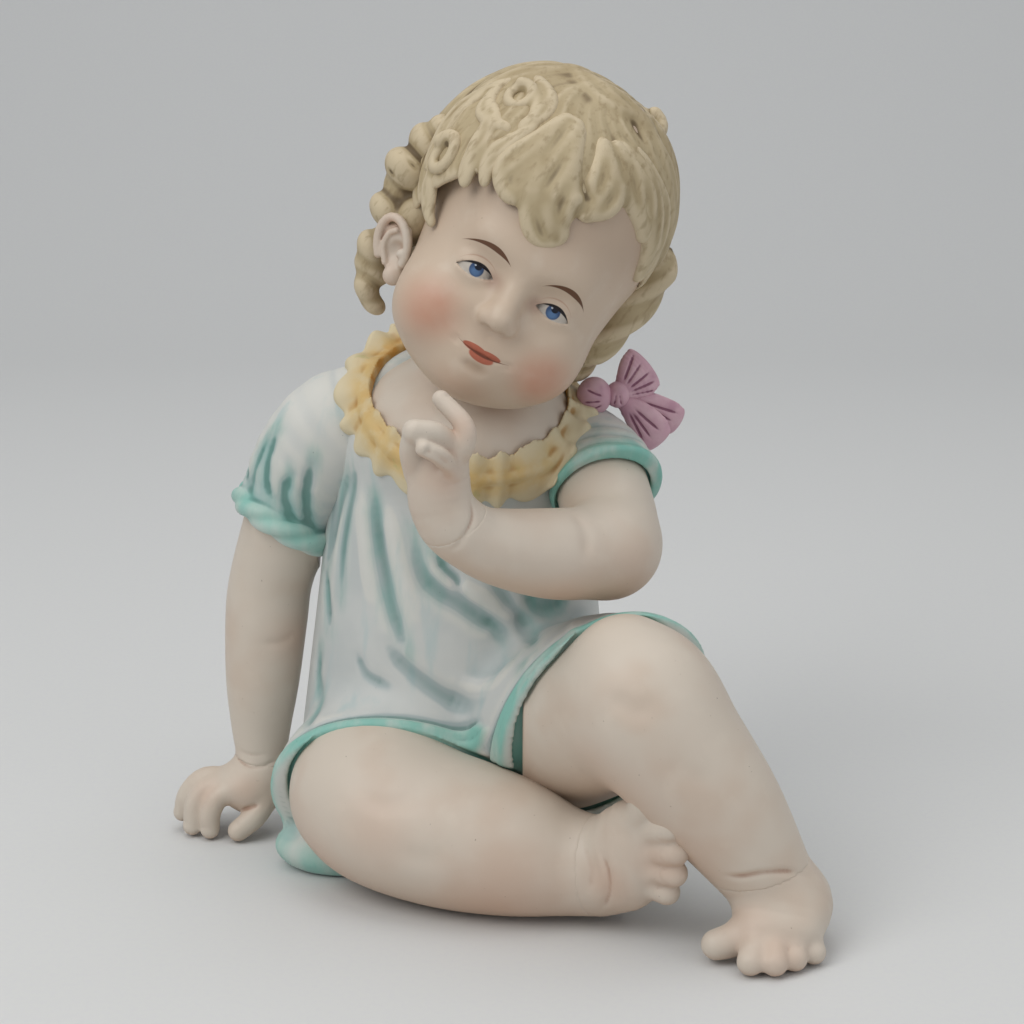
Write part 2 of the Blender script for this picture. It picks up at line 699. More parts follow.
def sculpt_nose(clay):
    clay.add(rope([(FACE_X, -39.5, -10, 3.0), (FACE_X, -42.5, -17, 3.2), (FACE_X, -46.0, -24, 4.0)]), 5)
    clay.add(ball((FACE_X, -47.2, -27.6), (4.9, 5.2, 4.4)), 3)
    for side in (-1, 1):
        clay.add(ball((FACE_X + 4.3 * side, -44.6, -29.2), (2.9, 3.8, 2.9)), 2.5)
        clay.cut(ball((FACE_X + 2.7 * side, -48.2, -32.4), (1.2, 2.2, 0.9)), 1.2)
    clay.press(clay.on_skin([(FACE_X, 0, -33.5), (FACE_X, 0, -38.4)]), 1.5, 0.5)


def sculpt_mouth(clay):
    mx, mz = MOUTH
    clay.add(ball((mx, -37.5, mz - 0.5), (12, 6.8, 7.5)), 7)
    for side in (-1, 1):
        clay.add(ball((mx + 2.3 * side, -43.4, mz + 0.9), (3.4, 2.1, 1.35)), 1.5)
    clay.add(ball((mx + 0.2, -43.2, mz - 1.5), (4.2, 2.2, 1.6)), 1.5)
    between = [(mx - 8.6, 0, mz + 0.9), (mx - 4.4, 0, mz - 0.1), (mx - 0.2, 0, mz - 0.35),
               (mx + 4.4, 0, mz - 0.1), (mx + 9.0, 0, mz + 0.9)]
    clay.press(clay.on_skin(between), 0.55, 0.7)
    for side in (-1, 1):
        clay.press(clay.on_skin([(mx + 9.6 * side, 0, mz + 2), (mx + 10.2 * side, 0, mz - 1.5)]), 1.8, 0.35)
    clay.press(clay.on_skin([(mx - 4.5, 0, mz - 4.8), (mx, 0, mz - 5.3), (mx + 4.5, 0, mz - 4.8)]), 1.9, 0.8)


def make_head():
    return make_piece("head_and_face", face_clay(), "head_shell", face_skin(), at_head=True)


# ---------------------------------------------------------------- outlines, as in the CAD
COLLAR = ((0, -8, 169), (0.13, -0.475, 0.87))
FLOOR = ((0, 0, 0), (0, 0, 1))
RIGHT_HEM = ((-22, -42, 30), (-0.10, -0.92, -0.38))
LEFT_HEM = ((55, -62, 74), (0.20, -0.84, -0.30))
RIGHT_CUFF = ((-70, 0, 118.5), (-0.50, -0.05, -0.86))
LEFT_CUFF = ((47, -35, 154), (0.226, -0.81, -0.541))
TORSO_LEVELS = [
    (0, -3, 4, 50, 40),
    (9, -4, 3, 57, 46),
    (35, -5, 2, 58, 47),
    (62, -5, 1, 55, 45),
    (92, -4, 0, 52, 42),
    (116, -4, 0, 49, 38),
    (140, -4, 1, 46, 34),
    (158, -3, 3, 45, 31),
    (174, -2, 5, 41, 28),
    (192, -1, 8, 33, 24),
]
CHEST = ball((-1, -3, 156), (42, 40, 31))
SKIRT_FLAP = ball((-45, -28, 8), (26, 18, 11))
RIGHT_SKIRT = ball((-22, -28, 32), (50, 37, 37), (0, 0, 20))
LEFT_SKIRT = rope([(16, -2, 42, 36), (34, -34, 56, 35), (48, -58, 70, 34), (57, -74, 78, 31.5)])
RIGHT_SLEEVE = rope([(-30, 5, 161, 19), (-46, 5, 157, 21.5), (-58, 6, 144, 21), (-66, 8, 128, 19),
                     (-70, 9, 110, 18)])
LEFT_SLEEVE = rope([(28, 3, 152, 15), (39, -1, 150, 18), (46, -13, 146, 19.5), (50, -27, 142, 20),
                    (52, -40, 137, 19.5)])
RIGHT_ARM = rope([(-66, 7, 124, 16), (-68, 8, 118, 16), (-74, 11, 98, 15.5), (-76, 11, 84, 15.5),
                  (-78, 10, 60, 14), (-79, 9, 42, 11.5), (-79, 7, 29, 9.5), (-79, 5, 22, 9.5)], 6)
LEFT_UPPER_ARM = rope([(44, -8, 149, 16), (46, -14, 146, 16.6), (49, -28, 139, 16.6), (51, -40, 131, 16.6),
                       (50, -50, 127, 16)], 6)
LEFT_FOREARM = rope([(52, -48, 127, 14), (46, -55, 127, 15.5), (32, -64, 129, 15.8), (17, -73, 133, 14),
                     (5, -80, 138, 11.8), (-4, -84, 145, 10)], 6)
RIGHT_KNEE = ball((-32, -37, 34), (30, 32, 29), (0, 0, 15))
RIGHT_SHIN = rope([(-38, -48, 34, 24), (-28, -54, 31, 27.5), (-8, -63, 28, 27.5), (13, -70, 25, 24.7),
                   (31, -74, 21, 19.5), (45, -77, 19, 15.5)], 6)
LEFT_THIGH = rope([(22, -8, 42, 31), (38, -40, 60, 30.5), (51, -68, 75, 28), (60, -84, 83, 23)], 6)
LEFT_SHIN = rope([(54, -84, 96, 17), (61, -89, 83, 24.5), (73, -92, 66, 24), (88, -95, 47, 20.5),
                  (104, -97, 23, 15)], 6)


def smooth_step(value, low, high):
    t = np.clip((value - low) / (high - low), 0, 1)
    return t * t * (3 - 2 * t)


def either(a, b, soft):
    """Two shapes as one."""
    low = np.minimum(a[0], b[0])
    high = np.maximum(a[1], b[1])
    return low, high, lambda x, y, z: soft_min(a[2](x, y, z), b[2](x, y, z), soft)


RIGHT_LEG = either(RIGHT_KNEE, RIGHT_SHIN, 10)
LEFT_LEG = either(LEFT_THIGH, LEFT_SHIN, 10)


def moved(plane, by):
    point, normal = plane
    n = np.array(normal, float) / np.linalg.norm(normal)
    return tuple(np.array(point) + n * by), normal


# ---------------------------------------------------------------- dress
HEM_WIDTH = 7.0
CHEST_FOLDS = [
    ([(-42, 0, 147), (-45, 0, 138), (-48, 0, 125), (-51, 0, 110)], 2.8, 1.6),
    ([(-33, 0, 140), (-32, 0, 129), (-30, 0, 116), (-28, 0, 105), (-25, 0, 95), (-22, 0, 86)], 2.6, 2.2),
    ([(-39, 0, 150), (-41, 0, 141), (-43, 0, 130), (-45, 0, 117), (-46, 0, 100)], 2.2, 1.3),
    ([(-19, 0, 128), (-16, 0, 115), (-10, 0, 108), (-3, 0, 104), (4, 0, 99), (11, 0, 94), (19, 0, 88)],
     3.2, 2.4),
    ([(-11, 0, 122), (-8, 0, 116), (-4, 0, 112), (-1, 0, 107)], 2.2, 1.8),
    ([(20, 0, 110), (24, 0, 102), (31, 0, 100), (37, 0, 104)], 3.0, 1.5),
    ([(-52, 0, 108), (-51, 0, 99), (-50, 0, 88)], 2.4, 1.3),
    ([(-54, 0, 80), (-55, 0, 66), (-57, 0, 52)], 2.8, 1.2),
    ([(8, 0, 120), (12, 0, 108), (20, 0, 96), (30, 0, 88)], 3.0, 1.3),
]
PLAIN_FOLDS = [
    ([(-30, 0, 90), (-24, 0, 82), (-15, 0, 75), (-6, 0, 69), (2, 0, 66)], 3.4, 1.5),
    ([(-40, 0, 84), (-36, 0, 76), (-26, 0, 72)], 2.2, 0.7),
]
CHEST_RIDGES = [
    ([(-28, 0, 139), (-26, 0, 130), (-24, 0, 119), (-21, 0, 108), (-17, 0, 96)], 3.2, 1.3),
    ([(-37, 0, 141), (-37, 0, 130), (-36, 0, 116), (-34, 0, 100)], 2.6, 1.0),
    ([(-14, 0, 121), (-7, 0, 113), (2, 0, 108), (12, 0, 102)], 2.6, 1.1),
    ([(-6, 0, 77), (4, 0, 74), (12, 0, 80), (20, 0, 90)], 3.0, 1.0),
    ([(34, 0, 112), (37, 0, 102), (33, 0, 96)], 2.6, 0.9),
]


def hem_band(plane, leg, x, y, z):
    """1 on the band along a hem, where the dress lies close to the leg."""
    back = -plane_side(plane, x, y, z)
    close = smooth_step(leg[2](x, y, z), 13, 9)
    return smooth_step(back, -0.5, 1.2) * smooth_step(back, HEM_WIDTH + 1, HEM_WIDTH - 1.5) * close


def mouth_of(plane, limb):
    """The stretch of a limb that is in front of a hem, and 3 mm behind it."""
    low, high, distance = limb
    return low, high, lambda x, y, z: np.maximum(distance(x, y, z), -3 - plane_side(plane, x, y, z))


def roll_hem(clay, plane, leg):
    """Raises the band along a hem, lets a groove in behind it, and opens a thin gap round the leg."""
    x, y, z = clay.everywhere()
    back = -plane_side(plane, x, y, z)
    close = smooth_step(leg[2](x, y, z), 13, 9)
    clay.d -= 0.9 * hem_band(plane, leg, x, y, z)
    clay.d += 0.8 * close * np.exp(-((back - HEM_WIDTH - 0.8) / 1.1) ** 2)
    clay.d += 0.3 * close * np.exp(-((back - 0.5 * HEM_WIDTH) / 0.8) ** 2)
    clay.cut(mouth_of(plane, grown(leg, 1.3)), 0.8)


def back_folds(clay):
    """Soft folds that fall from the gathered neck down the back and sides, uneven but always the same."""
    chance = np.random.RandomState(SEED)
    folds = []
    for i in range(13):
        turn = math.radians(-15 + 17.5 * i)
        reach = 40 + 75 * chance.rand()
        sway = chance.uniform(-0.12, 0.12)
        points = []
        for j in range(5):
            down = j / 4
            lean = turn + sway * down
            spread = 30 + 32 * down
            points.append((spread * math.cos(lean), 6 + spread * math.sin(lean), 160 - reach * down))
        folds.append((snap(clay, points), 2.4 + chance.rand(), 1.0 + 0.9 * chance.rand()))
    return folds


def snap(clay, points, rounds=6):
    """Moves points onto the clay's nearest surface."""
    p = np.array(points, float)
    step = clay.cell
    for _ in range(rounds):
        here = clay.sampled(clay.d, p)
        rises = [clay.sampled(clay.d, p + d) - clay.sampled(clay.d, p - d) for d in step * np.eye(3)]
        slope = np.stack(rises, axis=1) / (2 * step)
        length = np.maximum(np.linalg.norm(slope, axis=1), 0.3)
        p = p - slope * (np.clip(here, -6, 6) / length ** 2)[:, None]
    return p.tolist()


def make_dress():
    clay = Clay((-78, -92, -1.5), (92, 52, 190), 0.9)
    clay.add(column(TORSO_LEVELS)).keep(COLLAR, 2.0, behind=True)
    clay.add(behind(grown(CHEST, 0.5), COLLAR, 1.5), 8)
    clay.add(behind(RIGHT_SKIRT, RIGHT_HEM, 3), 9)
    clay.add(behind(LEFT_SKIRT, LEFT_HEM, 3), 9)
    clay.add(SKIRT_FLAP, 6)
    stained = []
    for points, width, depth in CHEST_FOLDS:
        path = clay.on_skin(points)
        clay.press(path, width, depth)
        stained.append(path)
    for points, width, depth in PLAIN_FOLDS:
        clay.press(clay.on_skin(points), width, depth)
    for points, width, height in CHEST_RIDGES:
        clay.press(clay.on_skin(points), width, -height)
    for path, width, depth in back_folds(clay):
        clay.press(path, width, depth)
        stained.append(path[:4])
    roll_hem(clay, RIGHT_HEM, RIGHT_LEG)
    roll_hem(clay, LEFT_HEM, LEFT_LEG)
    clay.cut(rope([(0, 20, -3, 7), (0, 20, 12, 7)]), 0.6)
    clay.keep(FLOOR, 1.2)

    flap = near_spots([(-68, -28, 5, 14), (-54, -44, 4, 12)])

    def hems(x, y, z):
        bands = np.maximum(hem_band(RIGHT_HEM, RIGHT_LEG, x, y, z), hem_band(LEFT_HEM, LEFT_LEG, x, y, z))
        return np.maximum(bands, flap(x, y, z))

    masks = {"stain": near_paths(stained, 4.0), "hem": hems}
    make_piece("dress", clay, "body_shell", dress_finish(), masks)


@cache
def dress_finish():
    """Grey white bisque with a teal wash that is brushed into the folds and along the hems."""
    dress = Finish("bisque_dress", colour(198, 200, 197), roughness=0.55)
    brushed = dress.noise(14.0, 4.0, (1.6, 1.6, 0.35))
    dress.wash(colour(178, 184, 183), dress.noise(30.0, 3.0).rise(0.4, 0.7) * 0.6)
    dress.wash(colour(213, 211, 203), dress.attribute("dip").rise(-0.01, -0.07) * 0.6)
    dress.wash(colour(150, 184, 186), brushed.rise(0.52, 0.75) * 0.4)
    dress.wash(colour(122, 150, 154), dress.attribute("dip").rise(0.015, 0.1) * 0.45)
    dress.wash(colour(96, 160, 148), dress.attribute("stain") * (brushed.rise(0.3, 0.7) * 0.55))
    dress.wash(colour(118, 184, 171), dress.attribute("hem") * (brushed.rise(0.2, 0.6) * 0.6 + 0.25))
    dress.wash(colour(70, 118, 108), dress.attribute("hollow").rise(0.03, 0.2) * 0.6)
    dress.wash(colour(72, 84, 84), dress.noise(1.2, 1.0).rise(0.79, 0.83) * 0.5)
    return dress.finish()


# ---------------------------------------------------------------- sleeves
def ring_round(plane, centre, radius, back, count=24):
    """Points of a ring that lies a distance behind a plane."""
    n = np.array(plane[1], float) / np.linalg.norm(plane[1])
    start = np.array(plane[0], float)
    middle = np.array(centre, float)
    middle = middle - n * ((middle - start) @ n + back)
    across = np.cross(n, (0, 0, 1) if abs(n[2]) < 0.8 else (1, 0, 0))
    across /= np.linalg.norm(across)
    up = np.cross(n, across)
    turns = [2 * math.pi * i / count for i in range(count + 1)]
    return [middle + radius * (across * math.cos(t) + up * math.sin(t)) for t in turns], middle, n


def twisted_cuff(clay, plane, centre, radius, thick, twists):
    """A gathered cuff: three rolls of cloth twisted round each other."""
    points, middle, n = ring_round(plane, centre, radius, thick * 1.6, 72)
    for strand in range(3):
        path = []
        for i, point in enumerate(points):
            outward = (point - middle) / radius
            turn = 2 * math.pi * (twists * i / (len(points) - 1) + strand / 3)
            path.append((*(point + thick * 0.75 * (outward * math.cos(turn) + n * math.sin(turn))), thick))
        clay.add(rope(path, 1), 1.4, reach=6)


def make_right_sleeve():
    clay = Clay((-96, -24, 100), (-10, 36, 190), 0.7)
    clay.add(behind(RIGHT_SLEEVE, moved(RIGHT_CUFF, -3), 2))
    folds = [
        [(-68, 0, 160), (-72, 0, 150), (-73, 0, 141), (-70, 0, 134)],
        [(-62, 0, 146), (-66, 0, 138), (-65, 0, 130), (-61, 0, 121)],
        [(-55, 0, 152), (-58, 0, 138), (-58, 0, 124), (-58, 0, 117)],
        [(-78, 0, 152), (-81, 0, 144), (-80, 0, 137)],
    ]
    stained = []
    for points in folds:
        path = clay.on_skin(points)
        clay.press(path, 2.2, 1.3)
        stained.append(path)
    for look, side in (("back", 34), ("right", 6)):
        for shift in (-10, 2, 13):
            points = [(-62 + shift * 0.5, side + shift, 158), (-68 + shift * 0.6, side + shift, 144),
                      (-70 + shift * 0.7, side + shift, 130)]
            path = clay.on_skin(points, look)
            clay.press(path, 2.4, 1.1)
            stained.append(path)
    twisted_cuff(clay, RIGHT_CUFF, (-68, 7, 122), 16.8, 3.0, 3)
    cuffs = near_paths([ring_round(RIGHT_CUFF, (-68, 7, 122), 19, 5)[0]], 5)
    masks = {"stain": near_paths(stained, 4.0), "hem": cuffs}
    make_piece("right_sleeve_puff", clay, "right_sleeve", dress_finish(), masks)


def make_left_sleeve():
    """A plain sleeve whose lower edge arches over the arm, with soft folds that follow the edge."""
    clay = Clay((8, -58, 112), (76, 26, 182), 0.7)
    clay.add(behind(LEFT_SLEEVE, LEFT_CUFF, 1.8))
    x, y, z = clay.everywhere()
    back = -plane_side(LEFT_CUFF, x, y, z) + 0.9 * np.sin(0.22 * x + 0.13 * z)
    clay.d -= 0.7 * np.exp(-((back - 2.2) / 1.5) ** 2)
    for place, depth in ((5.0, 0.4), (10.5, 0.6), (17.0, 0.5)):
        clay.d += depth * np.exp(-((back - place) / 1.7) ** 2)
    clay.cut(mouth_of(LEFT_CUFF, grown(LEFT_UPPER_ARM, 0.9)), 0.8)

    def edge(x, y, z):
        behind_edge = -plane_side(LEFT_CUFF, x, y, z)
        return smooth_step(behind_edge, 7.5, 2.5)

    def stain(x, y, z):
        behind_edge = -plane_side(LEFT_CUFF, x, y, z)
        return np.maximum(smooth_step(behind_edge, 22, 6) * 0.8, 0.7 * smooth_step(z, 136, 128))

    masks = {"stain": stain, "hem": edge}
    make_piece("left_sleeve_arch", clay, "left_sleeve", dress_finish(), masks)


# ---------------------------------------------------------------- collar
COLLAR_INNER = (35.5, 37.5)
COLLAR_WIDTH = 11.5
SCALLOPS = 22


def collar_frame():
    """The collar's own axes: along, across and out of its plane."""
    out = np.array(COLLAR[1], float) / np.linalg.norm(COLLAR[1])
    along = np.array((1, 0, -0.15))
    along = along - out * (along @ out)
    along /= np.linalg.norm(along)
    return along, np.cross(out, along), out


def collar_point(turn, rx, ry):
    """A point of an oval in the collar's plane."""
    along, across, _ = collar_frame()
    return np.array(COLLAR[0]) + along * rx * math.cos(turn) + across * ry * math.sin(turn)


def in_collar(x, y, z):
    """Angle round the collar, and distance from its inner edge, negative inside the neckline."""
    along, across, out = collar_frame()
    p = [axis - start for axis, start in zip((x, y, z), COLLAR[0])]
    u = sum(p[i] * along[i] for i in range(3))
    v = sum(p[i] * across[i] for i in range(3))
    w = sum(p[i] * out[i] for i in range(3))
    turn = np.arctan2(v / COLLAR_INNER[1], u / COLLAR_INNER[0])
    share = np.sqrt((u / COLLAR_INNER[0]) ** 2 + (v / COLLAR_INNER[1]) ** 2)
    level = (share - 1) * (COLLAR_INNER[0] + COLLAR_INNER[1]) / 2
    return turn, np.where(level > 0, np.sqrt(level ** 2 + w ** 2), level)


def make_collar():
    """A scalloped frill pressed over the shoulders, gathered into flutes at a rolled inner edge."""
    clay = Clay((-56, -62, 132), (58, 48, 192), 0.6)
    x, y, z = clay.everywhere()
    under = FAR * np.ones_like(clay.d)
    body = behind(column(TORSO_LEVELS), COLLAR, 2)
    for shape, soft in ((body, 0), (grown(CHEST, 0.6), 6), (RIGHT_SLEEVE, 5), (LEFT_SLEEVE, 5)):
        under = soft_min(under, shape[2](x, y, z), soft)
    turn, out = in_collar(x, y, z)
    uneven = turn + 0.05 * np.sin(5 * turn + 1) + 0.03 * np.sin(11 * turn)
    flute = np.cos(SCALLOPS * uneven)
    share = np.clip(out / COLLAR_WIDTH, 0, 1)
    thick = 1.7 + 0.9 * np.sqrt(share) * flute + 0.5 * np.sin(3 * turn) * share
    clay.d = -soft_min(-(under - thick), -(out - COLLAR_WIDTH - 1.5 * flute), 1.6)
    clay.d = -soft_min(-clay.d, out, 1.0)
    clay.d = np.maximum(clay.d, -under - 3).astype(np.float32)
    bare = clay.copy()
    bare.d = under.astype(np.float32)
    ring = snap(bare, [collar_point(2 * math.pi * i / 48, *COLLAR_INNER) for i in range(49)])
    clay.add(rope([(*point, 2.2) for point in ring], 1), 1.6)

    def across(x, y, z):
        return np.clip(in_collar(x, y, z)[1] / COLLAR_WIDTH, -0.2, 1.2)

    make_piece("collar_frill", clay, "collar_ruffle", collar_finish(), {"across": across})


def collar_finish():
    """Cream bisque, with an ochre wash that is strongest at the neck and pools in the flutes."""
    frill = Finish("bisque_collar", colour(208, 195, 163), roughness=0.55)
    across = frill.attribute("across")
    blot = frill.noise(5.0, 4.0)
    frill.wash(colour(204, 169, 97), across.rise(0.95, 0.25) * (blot.rise(0.25, 0.6) * 0.5 + 0.35))
    frill.wash(colour(186, 128, 48), across.rise(0.5, 0.0) * (blot.rise(0.35, 0.65) * 0.55 + 0.3))
    pooled = frill.attribute("hollow").rise(0.02, 0.16) * across.rise(1.1, 0.6)
    frill.wash(colour(166, 120, 56), pooled * 0.8)
    frill.wash(colour(176, 168, 140), frill.attribute("dip").rise(0.02, 0.12) * 0.35)
    frill.wash(colour(166, 168, 110), frill.noise(7.0, 3.0).rise(0.66, 0.78) * 0.4)
    return frill.finish()


# ---------------------------------------------------------------- limbs
def make_bust(skin):
    clay = Clay((-48, -50, 150), (50, 44, 212), 0.7)
    clay.add(CHEST)
    clay.add(rope([(0, 2, 150, 22.5), (4, -1, 170, 20.5), (9, -6, 186, 19.5), (17, -11, 206, 19)]), 12)
    clay.keep(moved(COLLAR, -3))
    clay.press(clay.on_skin([(-12, 0, 176), (-3, 0, 172), (8, 0, 174)]), 2.5, 0.5)
    masks = {"flush": near_spots([(10, -30, 182, 14)])}
    make_piece("neck_and_chest", clay, "bust", skin, masks)


def split_at(clay, plane, front, back):
    """Makes two pieces of one clay, on each side of a plane. Each is (name, node, masks).

    The piece in front runs on a little under the skin of the other, so that no gap shows.
    """
    skin = limb_skin()
    rear = clay.copy().keep(plane, behind=True)
    make_piece(back[0], rear, back[1], skin, back[2])
    ahead = clay.copy()
    overlap = smooth_step(-plane_side(plane, *clay.everywhere()), -0.2, 0.4)
    ahead.d += 0.2 * overlap
    ahead.keep(moved(plane, -1.6))
    make_piece(front[0], ahead, front[1], skin, front[2])


def digit(clay, points, thick, thin, soft, nail=None):
    """A finger or toe through its joints. A nail is the direction that it faces."""
    last = len(points) - 1
    stations = [(*p, thick + (thin - thick) * i / last) for i, p in enumerate(points)]
    clay.add(rope(stations, 4), soft, reach=8)
    if nail is not None:
        tip = np.array(points[-1], float)
        run = tip - np.array(points[-2], float)
        run /= np.linalg.norm(run)
        facing = np.array(nail, float)
        facing -= run * (facing @ run)
        facing /= np.linalg.norm(facing)
        bed = tip + facing * thin * 0.98 + run * thin * 0.25
        across = np.cross(run, facing)
        rim = []
        for i in range(9):
            turn = math.pi * (i / 8) + math.pi
            rim.append(bed + across * thin * 0.6 * math.cos(turn) + run * thin * 0.75 * math.sin(turn))
        clay.press(rim, 0.42, 0.35, steps=1)


RIGHT_FINGERS = {
    "thumb": ([(-77, -1, 15), (-81, -6, 9.5), (-87, -7.5, 4.5)], 4.9, 4.0, (0, -0.4, 1)),
    "index": ([(-86, -2, 19), (-94, -4, 17), (-97.5, -5, 11), (-98, -5, 4.2)], 4.6, 3.7, (-0.5, -1, 0)),
    "middle": ([(-88, 1, 20), (-98, 0, 19), (-103.5, -1, 13), (-105, -1.5, 4.2)], 4.6, 3.7, (-1, -0.5, 0)),
    "ring": ([(-88, 5, 20), (-100, 5, 21), (-107, 4.5, 15), (-109.5, 5, 7)], 4.4, 3.5, (-1, 0, 0.2)),
    "little": ([(-86, 9, 19), (-97, 11, 18), (-103, 12, 12), (-105, 12, 5)], 4.0, 3.3, (-1, 0.2, 0)),
}
LEFT_FINGERS = {
    "index": ([(-3.5, -89, 168), (0.3, -91.5, 174), (0.2, -91, 180.5), (-7.2, -86.5, 188)], 4.3, 2.9,
              (0.8, -0.6, 0.5)),
    "middle": ([(-4, -91, 173.5), (-9, -95.5, 178.5), (-15.5, -98, 180)], 4.1, 3.7, None),
    "ring": ([(-15.5, -96.5, 179), (-16.5, -93, 172), (-15, -89, 164)], 3.8, 4.6, None),
    "little": ([(-4, -93, 165), (-7, -99, 171.5), (-12.5, -101.5, 175)], 3.5, 2.7, (-0.2, -1, 0.6)),
}
RIGHT_TOES = {
    "great": ([(58, -92, 42), (61, -98, 50), (60.5, -101, 58)], 7.0, 5.9, (-0.6, -1, 0.4)),
    "second": ([(62, -96, 40), (66, -102, 44), (68.5, -104.5, 45.5)], 5.8, 5.1, (-0.3, -1, 0)),
    "third": ([(63, -96, 34), (68, -102, 36), (70.5, -104, 36.6)], 5.6, 5.0, (-0.3, -1, 0)),
    "fourth": ([(62, -95, 27.5), (68, -100, 28), (70.5, -102, 28)], 5.5, 4.8, (-0.3, -1, 0)),
    "little": ([(60, -91, 22), (66, -96.5, 20.5), (68.5, -98.5, 19.8)], 5.2, 4.6, (-0.3, -1, 0)),
}
LEFT_TOES = {
    "great": ([(98, -108, 10), (89, -111, 7.5), (84.5, -112, 6.6)], 6.2, 5.2, (-0.4, -0.4, 1)),
    "second": ([(98, -110, 10), (96.5, -117.5, 7.5), (95, -122, 5)], 5.2, 4.6, (0, -0.5, 1)),
    "third": ([(103, -110, 10), (103, -118, 7.5), (103, -122.5, 5)], 5.2, 4.6, (0, -0.5, 1)),
    "fourth": ([(108, -108, 10), (109.5, -115, 7), (110, -118.5, 4.8)], 5.0, 4.5, (0, -0.5, 1)),
    "little": ([(112, -104, 9), (115.5, -110, 6.5), (117, -113.5, 4.6)], 4.8, 4.2, (0.2, -0.5, 1)),
}


def add_digits(clay, digits, soft):
    for points, thick, thin, nail in digits.values():
        digit(clay, points, thick, thin, soft, nail)


def make_right_arm():
    clay = Clay((-118, -20, -1), (-56, 32, 142), 0.6)
    clay.add(RIGHT_ARM).smooth(2.4)
    clay.add(ball((-84, 3, 18), (12.5, 11.5, 9.5), (0, 28, 0)), 5)
    add_digits(clay, RIGHT_FINGERS, 2.0)
    crease = [(-90, 0, 31), (-84, 0, 28.5), (-77, 0, 28.5), (-70, 0, 31)]
    clay.press(clay.on_skin(crease), 0.8, 0.7)
    clay.press(clay.on_skin([(-88, 0, 34), (-82, 0, 32.5), (-76, 0, 33)]), 0.8, 0.35)
    clay.press(clay.on_skin(crease, "back"), 0.8, 0.6)
    clay.press(clay.on_skin([(-86, 0, 12), (-82, 0, 14), (-79, 0, 15)]), 0.8, 0.9)
    clay.press(clay.on_skin([(-64, 0, 80), (-70, 0, 77), (-78, 0, 78)]), 2.0, 0.5)
    clay.keep(FLOOR)
    flush = near_spots([(-84, -6, 20, 7), (-98, -3, 18, 6), (-66, 2, 78, 10), (-76, 24, 84, 10)])
    split_at(clay, ((-79, 7, 29), (-0.12, 0.1, -1)), ("right_hand_spread", "right_hand", {"flush": flush}),
             ("right_arm_straight", "right_arm", {"flush": flush}))


def make_left_arm():
    clay = Clay((-26, -110, 104), (72, -2, 196), 0.6)
    clay.add(LEFT_UPPER_ARM)
    clay.add(ball((50, -49, 127), (15.5, 15.5, 15.5)), 6)
    clay.add(LEFT_FOREARM, 6).smooth(2.4)
    palm = [(-2, -83, 143, 9.5, 9), (-7, -86, 151, 10.5, 9), (-8, -88, 160, 10.5, 8), (-7, -89, 169, 9, 7)]
    clay.add(ribbon(palm, (1, 0.2, 0.2)), 5)
    add_digits(clay, LEFT_FINGERS, 1.6)
    clay.press(clay.on_skin([(-15, 0, 176), (-10, 0, 174), (-6, 0, 171), (-4, 0, 168)]), 1.1, 0.9)
    clay.press(clay.on_skin([(-10, 0, 168), (-6, 0, 166), (-4, 0, 160)]), 1.5, 0.6)
    clay.press(clay.on_skin([(-4, 0, 138), (0, 0, 143), (3, 0, 150), (2, 0, 157)]), 1.0, 0.7)
    clay.press(clay.on_skin([(36, 0, 144), (41, 0, 138), (40, 0, 131)]), 2.5, 0.6)
    flush = near_spots([(56, -58, 118, 13), (30, -70, 115, 15), (-6, -94, 163, 7), (0, -92, 180, 5)])
    wrist = ((-3.5, -84, 145), (-0.42, -0.3, 0.86))
    split_at(clay, wrist, ("left_hand_raised", "left_hand", {"flush": flush}),
             ("left_arm_bent", "left_arm", {"flush": flush}))


def make_right_leg():
    clay = Clay((-68, -112, -1), (80, -24, 68), 0.7)
    clay.add(RIGHT_KNEE).add(RIGHT_SHIN, 10).smooth(2.8)
    sole = [(38, -76, 21, 15, 13), (48, -82, 23, 17, 14), (56, -89, 29, 20, 12.5), (61, -93, 33, 19, 9)]
    clay.add(ribbon(sole, (0, 0, 1)), 6)
    clay.add(ball((50, -73, 17), (11, 13, 13)), 6)
    add_digits(clay, RIGHT_TOES, 2.2)
    clay.press(clay.on_skin([(-38, 0, 48), (-30, 0, 44), (-20, 0, 46), (-13, 0, 51)]), 4.0, 0.8)
    clay.press(clay.on_skin([(-24, 0, 30), (-14, 0, 28), (-6, 0, 31)]), 4.0, 0.6)
    clay.press(clay.on_skin([(45, 0, 36), (48.5, 0, 28), (49, 0, 18), (46, 0, 9)]), 1.2, 0.6)
    clay.press(clay.on_skin([(40, 0, 36), (43, 0, 27), (42, 0, 17)]), 2.2, 0.6)
    clay.keep(moved(RIGHT_HEM, -6))
    clay.keep(FLOOR, 1.0)
    flush = near_spots([(-28, -76, 34, 14), (49, -98, 22, 9), (12, -90, 12, 22), (-50, -60, 20, 14),
                        (66, -103, 32, 10)])
    ankle = ((46, -79, 20), (0.86, -0.45, 0.1))
    split_at(clay, ankle, ("right_foot_on_side", "right_foot", {"flush": flush}),
             ("right_leg_folded", "right_leg", {"flush": flush}))


